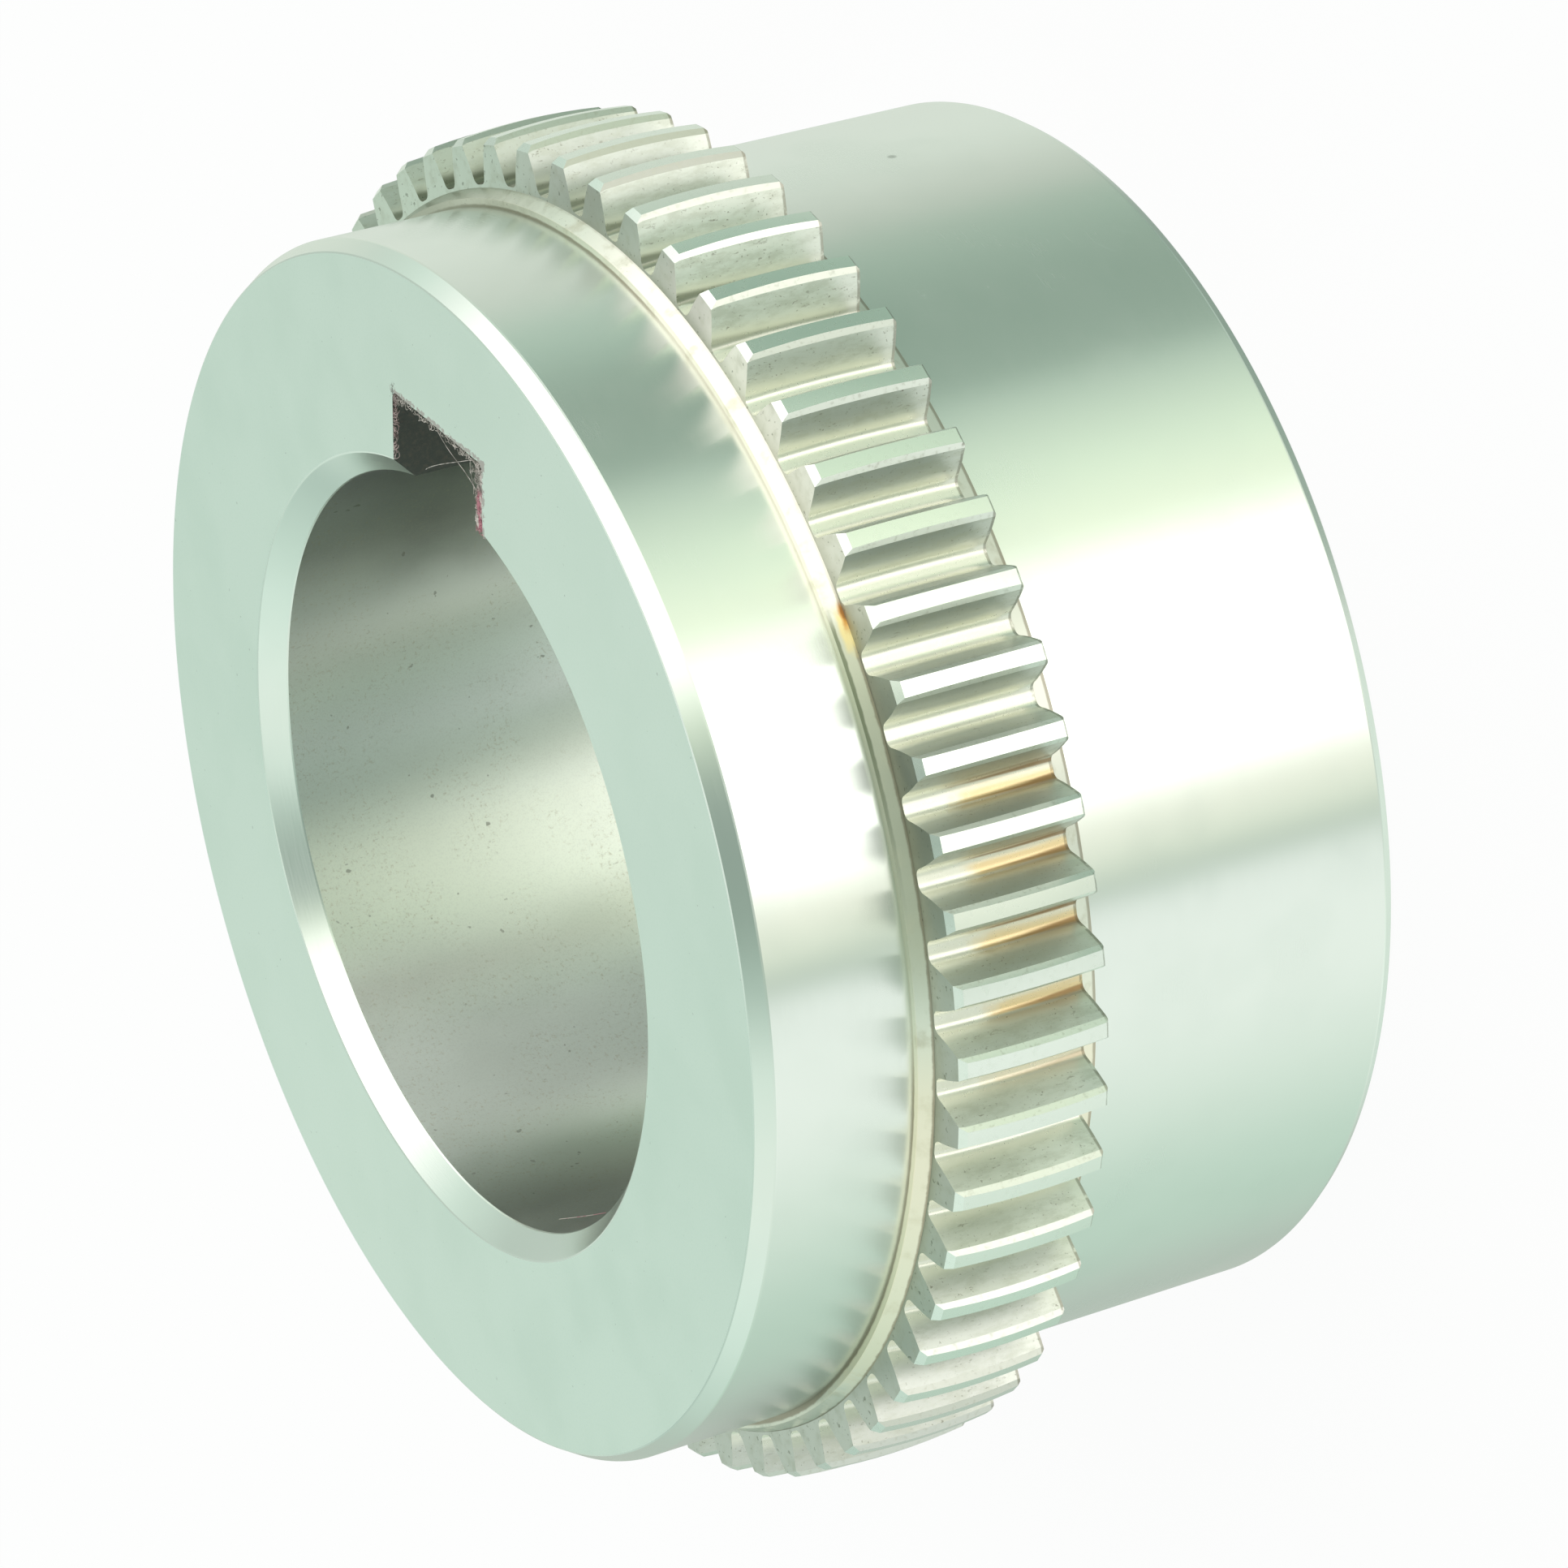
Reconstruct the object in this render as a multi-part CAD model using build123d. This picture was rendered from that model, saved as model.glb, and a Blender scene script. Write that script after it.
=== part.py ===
from build123d import *
import os
from math import acos, asin, cos, degrees, pi, radians, sin, sqrt, tan

# Crowned hub of a gear coupling, turned and hobbed from one piece of steel.
# The hub stands on its rear face. The origin is the centre of that face, Z is
# the axis of the shaft, and the keyway lies towards X.

# Boss, of one radius in front of the teeth and behind them
hub_length = 49.2
boss_radius = 43.2
front_chamfer_depth = 0.75
front_chamfer_length = 1.2
rear_chamfer_depth = 0.5
rear_chamfer_length = 0.8

# Bore and keyway, for a shaft of 2 1/8 inches and a key half an inch wide
bore_radius = 27.0
bore_chamfer = 1.6
keyway_width = 12.7
keyway_depth = 6.0
keyway_corner_radius = 0.5

# Toothed ring: its place behind the front face, and the form of its teeth
ring_setback = 12.4
tooth_length = 11.15
tooth_count = 59
tooth_phase = 0.924
pressure_angle = 20.0
addendum = 1.55
dedendum = 1.65
crown_radius = 57.5
crown_offset = 0.6
root_fillet = 0.6
floor_step = 0.22

# Edges of the teeth: a turned bevel at each end, and one along each tip edge
front_bevel_depth = 0.45
front_bevel_length = 0.45
rear_bevel_depth = 0.2
rear_bevel_length = 0.2
tip_bevel_depth = 0.4
tip_bevel_width = 0.32

# Collars that lead from the boss up to the teeth
collar_step = 0.6
collar_rise = 0.55
front_collar_length = 0.95
rear_collar_length = 1.5

# How far the cutting shapes run past the metal
overrun = 0.8

# Heights along the shaft. The teeth are crowned about a plane that lies a
# little behind the middle of their length.
teeth_front = hub_length - ring_setback
teeth_rear = teeth_front - tooth_length
crown_reach = tooth_length / 2 + crown_offset
crown_height = teeth_front - crown_reach
front_bevel_height = teeth_front - front_bevel_length
rear_bevel_height = teeth_rear + rear_bevel_length

# Radii of the ring. The gap floors rise from their ends to the crown plane,
# and the tips lie on a sphere about it.
collar_foot_radius = boss_radius + collar_step
collar_radius = collar_foot_radius + collar_rise
crown_drop = crown_radius - sqrt(crown_radius**2 - crown_reach**2)
floor_radius = collar_radius + floor_step + crown_drop
pitch_radius = floor_radius + dedendum
tip_radius = pitch_radius + addendum
base_radius = pitch_radius * cos(radians(pressure_angle))
front_tip_radius = sqrt(tip_radius**2 - (front_bevel_height - crown_height) ** 2)
rear_tip_radius = sqrt(tip_radius**2 - (rear_bevel_height - crown_height) ** 2)


def involute(angle):
    return tan(angle) - angle


def flank_point(radius):
    # Point of the flank beside a gap that is centred on X, in the crown plane
    tooth_angle = pi / (2 * tooth_count) + involute(radians(pressure_angle))
    tooth_angle -= involute(acos(base_radius / radius))
    gap_angle = pi / tooth_count - tooth_angle
    return (radius * cos(gap_angle), radius * sin(gap_angle))


# Turned blank: one section through the wall, swept about the shaft
outline = Polyline(
    (rear_tip_radius, 0, rear_bevel_height),
    (rear_tip_radius - rear_bevel_depth, 0, teeth_rear),
    (collar_radius, 0, teeth_rear),
    (collar_foot_radius, 0, teeth_rear - rear_collar_length),
    (boss_radius, 0, teeth_rear - rear_collar_length),
    (boss_radius, 0, rear_chamfer_length),
    (boss_radius - rear_chamfer_depth, 0, 0),
    (bore_radius + bore_chamfer, 0, 0),
    (bore_radius, 0, bore_chamfer),
    (bore_radius, 0, hub_length - bore_chamfer),
    (bore_radius + bore_chamfer, 0, hub_length),
    (boss_radius - front_chamfer_depth, 0, hub_length),
    (boss_radius, 0, hub_length - front_chamfer_length),
    (boss_radius, 0, teeth_front + front_collar_length),
    (collar_foot_radius, 0, teeth_front + front_collar_length),
    (collar_radius, 0, teeth_front),
    (front_tip_radius - front_bevel_depth, 0, teeth_front),
    (front_tip_radius, 0, front_bevel_height),
)
tip_arc = ThreePointArc(
    (front_tip_radius, 0, front_bevel_height),
    (tip_radius, 0, crown_height),
    (rear_tip_radius, 0, rear_bevel_height),
)
blank = revolve(make_face(outline + tip_arc), Axis.Z)

# Keyway along the whole bore, with a small radius in each floor corner
keyway_reach = bore_radius + keyway_depth
keyway = Pos(keyway_reach / 2, 0, hub_length / 2) * Box(
    keyway_reach, keyway_width, hub_length + 2 * overrun
)
keyway = fillet(keyway.faces().sort_by(Axis.X)[-1].edges().filter_by(Axis.Z), keyway_corner_radius)

# One gap between two teeth: involute flanks that end in the bevel of the tips,
# and a floor with rounded corners
foot = flank_point(floor_radius)
top = flank_point(tip_radius - tip_bevel_depth)
mouth_depth = tip_bevel_depth + overrun
mouth = (top[0] + mouth_depth, top[1] + mouth_depth * tip_bevel_width / tip_bevel_depth)
right_side = ThreePointArc(foot, flank_point(pitch_radius), top) + Line(top, mouth)
left_side = mirror(right_side, Plane.XZ)
floor_line = Line(foot, (foot[0], -foot[1]))
mouth_line = Line(mouth, (mouth[0], -mouth[1]))
gap_section = make_face(right_side + left_side + floor_line + mouth_line)
gap_section = fillet(gap_section.vertices().group_by(Axis.X)[0], root_fillet)

# The gap follows an arc, so that the teeth are thinner at both ends
crown_axis = Axis((floor_radius - crown_radius, 0, crown_height), (0, 1, 0))
half_sweep = degrees(asin((crown_reach + overrun) / crown_radius))
gap = revolve(Pos(0, 0, crown_height) * gap_section, crown_axis, 2 * half_sweep)
gap = gap.rotate(crown_axis, -half_sweep)
pitch_angle = 360 / tooth_count
gaps = [Rot(0, 0, tooth_phase + pitch_angle * (k + 0.5)) * gap for k in range(tooth_count)]

hub = blank - keyway - gaps

os.makedirs("parts", exist_ok=True)
export_step(hub, "parts/hub.step")
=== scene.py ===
import bpy
import bmesh
import random
from math import acos, cos, pi, radians, sin, sqrt, tan
from mathutils import Matrix, Vector
from types import SimpleNamespace


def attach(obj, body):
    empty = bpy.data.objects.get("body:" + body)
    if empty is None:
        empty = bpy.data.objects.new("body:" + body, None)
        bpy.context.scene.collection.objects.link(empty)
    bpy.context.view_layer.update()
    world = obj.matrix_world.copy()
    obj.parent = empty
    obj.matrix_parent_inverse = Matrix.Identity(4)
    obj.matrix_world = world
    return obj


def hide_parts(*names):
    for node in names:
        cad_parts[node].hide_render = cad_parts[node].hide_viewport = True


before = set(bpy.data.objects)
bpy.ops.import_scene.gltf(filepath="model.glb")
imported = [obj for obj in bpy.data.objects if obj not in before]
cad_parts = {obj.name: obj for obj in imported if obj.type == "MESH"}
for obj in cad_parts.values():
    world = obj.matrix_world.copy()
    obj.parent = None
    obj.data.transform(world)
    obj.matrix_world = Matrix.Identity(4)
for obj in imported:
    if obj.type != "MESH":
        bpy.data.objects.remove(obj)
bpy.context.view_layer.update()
mm = 0.001
print("frame loaded:", sorted(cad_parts))


# One output of a node. Arithmetic on it adds Math nodes to its tree.
class Wire:
    def __init__(self, bench, socket):
        self.bench = bench
        self.socket = socket

    def math(self, operation, *others):
        sockets = dict(enumerate([self, *others]))
        return self.bench.add("ShaderNodeMath", {"operation": operation}, sockets)

    def __add__(self, other):
        return self.math("ADD", other)

    def __sub__(self, other):
        return self.math("SUBTRACT", other)

    def __mul__(self, other):
        return self.math("MULTIPLY", other)

    def __truediv__(self, other):
        return self.math("DIVIDE", other)

    def __radd__(self, other):
        return self.math("ADD", other)

    def __rmul__(self, other):
        return self.math("MULTIPLY", other)

    def __abs__(self):
        return self.math("ABSOLUTE")

    def __rsub__(self, other):
        return self.bench.add("ShaderNodeMath", {"operation": "SUBTRACT"}, {0: other, 1: self})


# Adds nodes to one tree. A wire or a plain value goes to each named socket.
class Bench:
    def __init__(self, tree):
        self.tree = tree

    def add(self, kind, settings=None, sockets=None, out=0):
        node = self.tree.nodes.new(kind)
        for name, value in (settings or {}).items():
            if name == "stops":
                ramp = node.color_ramp.elements
                while len(ramp) < len(value):
                    ramp.new(0.5)
                for stop, (position, colour) in zip(ramp, value):
                    stop.position = position
                    stop.color = (*colour, 1.0)
            else:
                setattr(node, name, value)
        for name, value in (sockets or {}).items():
            for item in value if isinstance(value, list) else [value]:
                if isinstance(item, Wire):
                    self.tree.links.new(item.socket, node.inputs[name])
                else:
                    node.inputs[name].default_value = item
        return Wire(self, node.outputs[out]) if len(node.outputs) else node

    # 0 below one value, 1 above the other, and soft between them
    def step(self, wire, low, high):
        settings = {"interpolation_type": "SMOOTHSTEP"}
        if low > high:
            sockets = {0: wire, 1: high, 2: low, 3: 1.0, 4: 0.0}
        else:
            sockets = {0: wire, 1: low, 2: high, 3: 0.0, 4: 1.0}
        return self.add("ShaderNodeMapRange", settings, sockets)

    # 1 from the second value to the third, and soft down to 0 at the first and the last
    def band(self, wire, start, low, high, end):
        return self.step(wire, start, low) * self.step(wire, end, high)

    # Blends two colours, each a wire or a tuple of three parts
    def mix(self, amount, first, second, blend="MIX"):
        settings = {"data_type": "RGBA", "blend_type": blend}
        sockets = {0: amount, 6: first, 7: second}
        for side in (6, 7):
            if isinstance(sockets[side], tuple):
                sockets[side] = (*sockets[side], 1.0)
        return self.add("ShaderNodeMix", settings, sockets, 2)

    def noise(self, vector, scale, detail=2.0, roughness=0.5):
        sockets = {"Vector": vector, "Scale": scale, "Detail": detail, "Roughness": roughness}
        return self.add("ShaderNodeTexNoise", {}, sockets)

    # Patches of a noise: 0 where it is under one value, 1 over the other
    def patches(self, low, high, *pattern):
        return self.step(self.noise(*pattern), low, high)

    def vector(self, x, y, z):
        return self.add("ShaderNodeCombineXYZ", {}, {0: x, 1: y, 2: z})

    def parts(self, vector):
        split = self.add("ShaderNodeSeparateXYZ", {}, {0: vector}).socket.node
        return [Wire(self, output) for output in split.outputs]

    # A pattern of noise on this vector is drawn out along the shaft
    def drawnOut(self, vector, squeeze):
        return self.add("ShaderNodeMapping", {}, {"Vector": vector, "Scale": (1.0, 1.0, squeeze)})


# A tree with one named input for the geometry and one for each value, and wires for them
def newTree(name, values):
    tree = bpy.data.node_groups.new(name, "GeometryNodeTree")
    kinds = {"Geometry": "Geometry"}
    for label, value in values.items():
        kinds[label] = "Int" if isinstance(value, int) else "Float"
    for label, kind in kinds.items():
        tree.interface.new_socket(name=label, in_out="INPUT", socket_type="NodeSocket" + kind)
    tree.interface.new_socket(name="Geometry", in_out="OUTPUT", socket_type="NodeSocketGeometry")
    source = tree.nodes.new("NodeGroupInput")
    bench = Bench(tree)
    return bench, {label: Wire(bench, source.outputs[label]) for label in kinds}


# Sizes of the hub in millimetres, the same as the solid's
hubSizes = {
    "hubLength": 49.2,
    "bossRadius": 43.2,
    "frontChamferDepth": 0.75,
    "frontChamferLength": 1.2,
    "rearChamferDepth": 0.5,
    "rearChamferLength": 0.8,
    "boreRadius": 27.0,
    "boreChamfer": 1.6,
    "keywayWidth": 12.7,
    "keywayDepth": 6.0,
    "keywayCornerRadius": 0.5,
    "ringSetback": 12.4,
    "toothLength": 11.15,
    "toothCount": 59,
    "toothPhase": 0.924,
    "pressureAngle": 20.0,
    "addendum": 1.55,
    "dedendum": 1.65,
    "crownRadius": 57.5,
    "crownOffset": 0.6,
    "rootFillet": 0.6,
    "floorStep": 0.22,
    "frontBevel": 0.45,
    "rearBevel": 0.2,
    "tipBevelDepth": 0.4,
    "tipBevelWidth": 0.32,
    "collarStep": 0.6,
    "collarRise": 0.55,
    "frontCollarLength": 0.95,
    "rearCollarLength": 1.5,
    "edgeBreak": 0.07,
    "cutterOverrun": 2.0,
    "mergeGap": 0.002,
    "sharpAngle": 35,
}
zoneNames = ["face", "chamfer", "boss", "collar", "toothEnd", "land", "bevel", "flank", "bore", "keyway"]
zones = {name: index for index, name in enumerate(zoneNames)}


def worked(sizes):
    # Heights and radii that follow from the sizes
    hub = SimpleNamespace(**sizes)
    hub.teethFront = hub.hubLength - hub.ringSetback
    hub.teethRear = hub.teethFront - hub.toothLength
    hub.frontTipStart = hub.teethFront - hub.frontBevel
    hub.rearTipStart = hub.teethRear + hub.rearBevel
    hub.crownReach = hub.toothLength / 2 + hub.crownOffset
    hub.crownHeight = hub.teethFront - hub.crownReach
    hub.collarFoot = hub.bossRadius + hub.collarStep
    hub.collarRadius = hub.collarFoot + hub.collarRise
    crownDrop = hub.crownRadius - sqrt(hub.crownRadius**2 - hub.crownReach**2)
    hub.floorRadius = hub.collarRadius + hub.floorStep + crownDrop
    hub.pitchRadius = hub.floorRadius + hub.dedendum
    hub.tipRadius = hub.pitchRadius + hub.addendum
    hub.baseRadius = hub.pitchRadius * cos(radians(hub.pressureAngle))
    hub.halfPitch = pi / hub.toothCount
    hub.keywayReach = hub.boreRadius + hub.keywayDepth
    return hub


hub = worked(hubSizes)


def flankPoint(radius):
    # Point of the flank beside a gap centred on X, in the crown plane
    involute = lambda angle: tan(angle) - angle
    toothAngle = hub.halfPitch / 2 + involute(radians(hub.pressureAngle))
    toothAngle -= involute(acos(hub.baseRadius / radius))
    gapAngle = hub.halfPitch - toothAngle
    return Vector((radius * cos(gapAngle), radius * sin(gapAngle)))


def sweptInwards(point, height):
    # The cutter follows an arc, so its section moves inwards away from the crown plane
    centre = hub.floorRadius - hub.crownRadius
    rise = height - hub.crownHeight
    return Vector((centre + sqrt((point.x - centre) ** 2 - rise**2), point.y))


def tipLimit(height):
    # Radius of the turned blank: a sphere, with a cone at each end of the teeth
    sphere = lambda level: sqrt(hub.tipRadius ** 2 - (level - hub.crownHeight) ** 2)
    frontStart, rearStart = hub.frontTipStart, hub.rearTipStart
    if height > frontStart:
        return sphere(frontStart) - (height - frontStart)
    if height < rearStart:
        return sphere(rearStart) - (rearStart - height)
    return sphere(height)


def bisected(inside, low, high, halvings=40):
    for halving in range(halvings):
        middle = (low + high) / 2
        if inside(middle):
            low = middle
        else:
            high = middle
    return low


stationCounts = {"floor": 2, "fillet": 6, "flank": 5, "bevel": 1, "land": 3, "height": 8}


def halfOutline(height):
    # From the middle of a gap to the middle of the next tooth
    foot = flankPoint(hub.floorRadius)
    upwards = (flankPoint(hub.floorRadius + 0.5) - foot).normalized()  # nearly straight there
    sideways = Vector((0, -1))
    halfCorner = sideways.angle(upwards) / 2
    tangent = hub.rootFillet / tan(halfCorner)
    centre = foot + (sideways + upwards).normalized() * hub.rootFillet / sin(halfCorner)
    points = []
    for index in range(stationCounts["floor"]):
        points.append(Vector((foot.x, (foot.y - tangent) * index / stationCounts["floor"])))
    start = foot + sideways * tangent - centre
    sweep = start.angle_signed(foot + upwards * tangent - centre)
    for index in range(stationCounts["fillet"]):
        turned = start.copy()
        turned.rotate(Matrix.Rotation(-sweep * index / stationCounts["fillet"], 2))
        points.append(centre + turned)
    limit = tipLimit(height)
    topRadius = hub.tipRadius - hub.tipBevelDepth
    below = lambda point: sweptInwards(point, height).length < limit
    flankFoot = (foot + upwards * tangent).length
    flankEnd = topRadius
    if not below(flankPoint(topRadius)):
        flankEnd = bisected(lambda radius: below(flankPoint(radius)), flankFoot, topRadius)
    for index in range(stationCounts["flank"]):
        radius = flankFoot + (flankEnd - flankFoot) * index / stationCounts["flank"]
        points.append(flankPoint(radius))
    bevelRun = Vector((hub.tipBevelDepth, hub.tipBevelWidth))
    bevelFoot = flankPoint(flankEnd)
    share = bisected(lambda part: below(bevelFoot + bevelRun * part), 0.0, 2.0)
    for index in range(stationCounts["bevel"]):
        points.append(bevelFoot + bevelRun * share * index / stationCounts["bevel"])
    points = [sweptInwards(point, height) for point in points]
    corner = sweptInwards(bevelFoot + bevelRun * share, height)
    angle = Vector((1, 0)).angle(corner)
    for index in range(stationCounts["land"] + 1):
        turn = angle + (hub.halfPitch - angle) * index / stationCounts["land"]
        points.append(Vector((limit * cos(turn), limit * sin(turn))))
    return points


def broken(before, corner, after, size):
    # A corner of the section, cut back by a tiny flat
    points = []
    for other in (before, after):
        step = Vector(other) - Vector(corner)
        points.append(tuple(Vector(corner) + step.normalized() * size))
    return points


def sectorMesh():
    # One gap with half a tooth on each side, and the whole section of the hub under it
    rows = []
    front, rear = hub.teethFront, hub.teethRear
    rearStart, frontStart = hub.rearTipStart, hub.frontTipStart
    span, steps = frontStart - rearStart, stationCounts["height"]
    levels = [rear] + [rearStart + span * index / steps for index in range(steps + 1)] + [front]
    for level in levels:
        half = halfOutline(level)
        points = [Vector((point.x, -point.y, level)) for point in reversed(half[1:])]
        points += [Vector((point.x, point.y, level)) for point in half]
        sharp = level in (rear, rearStart, frontStart, front)
        rows.append([points, "teeth" if level != front else "toothEnd", sharp])
    count = len(rows[0][0])
    boss, bore, length = hub.bossRadius, hub.boreRadius, hub.hubLength
    mouth = bore + hub.boreChamfer
    collars = [front + hub.frontCollarLength, rear - hub.rearCollarLength]
    section = [
        (hub.collarRadius, front, "collar", 0),
        (hub.collarFoot, collars[0], "collar", 0),
        (boss, collars[0], "boss", 0),
        (boss, length - hub.frontChamferLength, "chamfer", 1),
        (boss - hub.frontChamferDepth, length, "face", 1),
        (mouth, length, "chamfer", 1),
        (bore, length - hub.boreChamfer, "bore", 1),
        (bore, hub.boreChamfer, "chamfer", 1),
        (mouth, 0, "face", 1),
        (boss - hub.rearChamferDepth, 0, "chamfer", 1),
        (boss, hub.rearChamferLength, "boss", 1),
        (boss, collars[1], "collar", 0),
        (hub.collarFoot, collars[1], "collar", 0),
        (hub.collarRadius, rear, "toothEnd", 0),
    ]
    for index, (radius, level, zone, breaks) in enumerate(section):
        places = [(radius, level)]
        if breaks:
            before, after = section[index - 1][:2], section[index + 1][:2]
            places = broken(before, (radius, level), after, hub.edgeBreak)
        for order, (ring, height) in enumerate(places):
            points = []
            for station in range(count):
                turn = hub.halfPitch * (2 * station / (count - 1) - 1)
                points.append(Vector((ring * cos(turn), ring * sin(turn), height)))
            bandZone = zone if order == len(places) - 1 else "chamfer"
            rows.append([points, bandZone, True])
    return rows, count


def buildSector():
    rows, count = sectorMesh()
    half = (count - 1) // 2
    bevelAt = sum(stationCounts[name] for name in ("floor", "fillet", "flank"))
    landAt = bevelAt + stationCounts["bevel"]
    mesh = bpy.data.meshes.new("hubSector")
    work = bmesh.new()
    zoneLayer = work.faces.layers.int.new("zone")
    grid = [[work.verts.new(point * mm) for point in row[0]] for row in rows]
    bands = list(zip(rows, grid, grid[1:] + grid[:1]))
    for row, lower, upper in bands:
        for station in range(count - 1):
            corners = (lower[station], lower[station + 1], upper[station + 1], upper[station])
            face = work.faces.new(corners)
            face.smooth = True
            name = row[1]
            if name == "teeth":
                step = abs(station + 0.5 - half)
                name = "land" if step > landAt else "bevel" if step > bevelAt else "flank"
            face[zoneLayer] = zones[name]
    work.edges.ensure_lookup_table()
    for row, lower, upper in bands:
        zone, sharp = row[1:]
        for station in range(count - 1):
            if sharp:
                work.edges.get((lower[station], lower[station + 1])).smooth = False
            if zone == "teeth" and abs(station - half) in (bevelAt, landAt):
                work.edges.get((lower[station], upper[station])).smooth = False
    bmesh.ops.recalc_face_normals(work, faces=work.faces)
    work.to_mesh(mesh)
    work.free()
    return mesh


# Repeats the sector round the shaft, cuts the keyway and gives each zone its finish
def hubTree(finishes, values):
    bench, given = newTree("hubRing", values)
    index = bench.add("GeometryNodeInputIndex")
    turn = (index + 0.5) * (2 * pi) / given["Tooth Count"] + given["Tooth Phase"]
    spin = bench.add("FunctionNodeEulerToRotation", {}, {0: bench.vector(0.0, 0.0, turn)})
    points = bench.add("GeometryNodePoints", {}, {"Count": given["Tooth Count"]})
    sockets = {"Points": points, "Instance": given["Geometry"], "Rotation": spin}
    sectors = bench.add("GeometryNodeInstanceOnPoints", {}, sockets)
    ring = bench.add("GeometryNodeRealizeInstances", {}, {"Geometry": sectors})
    sockets = {"Geometry": ring, "Distance": given["Merge Gap"]}
    ring = bench.add("GeometryNodeMergeByDistance", {}, sockets)

    sockets = {"Width": given["Keyway Reach"], "Height": given["Keyway Width"]}
    slotLine = bench.add("GeometryNodeCurvePrimitiveQuadrilateral", {}, sockets)
    sockets = {"Curve": slotLine, "Count": 4, "Radius": given["Keyway Corner"]}
    slotLine = bench.add("GeometryNodeFilletCurve", {"mode": "POLY"}, sockets)
    slotFloor = bench.add("GeometryNodeFillCurve", {"mode": "NGONS"}, {"Curve": slotLine})
    lift = bench.vector(0.0, 0.0, given["Cutter Length"])
    sockets = {"Mesh": slotFloor, "Offset": lift, "Offset Scale": 1.0, "Individual": False}
    slotSides = bench.add("GeometryNodeExtrudeMesh", {"mode": "FACES"}, sockets)
    slotFloor = bench.add("GeometryNodeFlipFaces", {}, {"Mesh": slotFloor})
    cutter = bench.add("GeometryNodeJoinGeometry", {}, {"Geometry": [slotFloor, slotSides]})
    sockets = {"Geometry": cutter, "Distance": given["Merge Gap"]}
    cutter = bench.add("GeometryNodeMergeByDistance", {}, sockets)
    place = bench.vector(given["Keyway Reach"] * 0.5, 0.0, given["Cutter Start"])
    cutter = bench.add("GeometryNodeTransform", {}, {"Geometry": cutter, "Translation": place})
    settings = {"data_type": "INT", "domain": "FACE"}
    sockets = {"Geometry": cutter, "Name": "zone", "Value": zones["keyway"]}
    cutter = bench.add("GeometryNodeStoreNamedAttribute", settings, sockets)
    settings = {"operation": "DIFFERENCE", "solver": "MANIFOLD"}
    whole = bench.add("GeometryNodeMeshBoolean", settings, {"Mesh 1": ring, "Mesh 2": cutter})

    angle = bench.add("GeometryNodeInputMeshEdgeAngle")
    creased = angle.math("GREATER_THAN", given["Sharp Angle"])
    sockets = {"Geometry": whole, "Selection": creased, "Shade Smooth": False}
    whole = bench.add("GeometryNodeSetShadeSmooth", {"domain": "EDGE"}, sockets)
    whole = bench.add("GeometryNodeRealizeInstances", {}, {"Geometry": whole})
    zone = bench.add("GeometryNodeInputNamedAttribute", {"data_type": "INT"}, {"Name": "zone"})
    for name, finish in finishes.items():
        settings = {"data_type": "INT", "operation": "EQUAL"}
        chosen = bench.add("FunctionNodeCompare", settings, {2: zone, 3: zones[name]})
        sockets = {"Geometry": whole, "Selection": chosen, "Material": finish}
        whole = bench.add("GeometryNodeSetMaterial", {}, sockets)
    bench.add("NodeGroupOutput", {}, {"Geometry": whole})
    return bench.tree


# The result of a tree on a mesh, as a plain mesh of its own
def grown(mesh, tree, values, name):
    holder = bpy.data.objects.new(name + "Holder", mesh)
    bpy.context.scene.collection.objects.link(holder)
    modifier = holder.modifiers.new("tree", "NODES")
    modifier.node_group = tree
    for item in tree.interface.items_tree:
        if item.in_out == "INPUT" and item.name in values:
            modifier[item.identifier] = values[item.name]
    holder.update_tag()
    evaluated = holder.evaluated_get(bpy.context.evaluated_depsgraph_get())
    result = bpy.data.meshes.new_from_object(evaluated)
    result.name = name
    piece = bpy.data.objects.new(name, result)
    bpy.context.scene.collection.objects.link(piece)
    bpy.data.objects.remove(holder)
    return piece


def buildHub(finishes):
    values = {
        "Tooth Count": hub.toothCount,
        "Tooth Phase": radians(hub.toothPhase),
        "Merge Gap": hub.mergeGap * mm,
        "Keyway Width": hub.keywayWidth * mm,
        "Keyway Reach": hub.keywayReach * mm,
        "Keyway Corner": hub.keywayCornerRadius * mm,
        "Cutter Length": (hub.hubLength + 2 * hub.cutterOverrun) * mm,
        "Cutter Start": -hub.cutterOverrun * mm,
        "Sharp Angle": radians(hub.sharpAngle),
    }
    return grown(buildSector(), hubTree(finishes, values), values, "hubBody")


# Where a shader is on the hub: radius, azimuth and height, in millimetres and degrees
class Spot:
    def __init__(self, bench):
        coords = bench.add("ShaderNodeTexCoord", {}, {}, "Object")
        x, y, z = [part * (1 / mm) for part in bench.parts(coords)]
        self.radius = (x * x + y * y).math("SQRT")
        self.azimuth = y.math("ARCTAN2", x) * (180 / pi)
        self.height = z
        self.along = x
        self.aside = y
        self.point = bench.vector(x, y, z)
        # How far to the side of the middle of its gap a point lies
        pitch = 360 / hub.toothCount
        share = ((self.azimuth + (720 - hub.toothPhase)) / pitch).math("FRACT")
        self.across = (share - 0.5) * self.radius * radians(pitch)
        # Lines that run round the shaft, as a lathe leaves them
        self.turned = bench.vector(self.radius, self.azimuth * 0.02, self.height)
        # The surface laid flat, turned so that its first axis slants across the shaft
        flat = self.azimuth * radians(hub.bossRadius)
        across, upwards = flat * 0.8 + self.height * 0.6, self.height * 0.8 - flat * 0.6
        self.unrolled = bench.vector(across, upwards, 0.0)
        # Lines that run along the shaft
        self.drawn = bench.vector(x, y, self.height * 0.03)
        self.bench = bench

    # 1 in front of the teeth and 0 behind them
    def ahead(self):
        return self.bench.step(self.height, hub.crownHeight, hub.teethFront)


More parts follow.
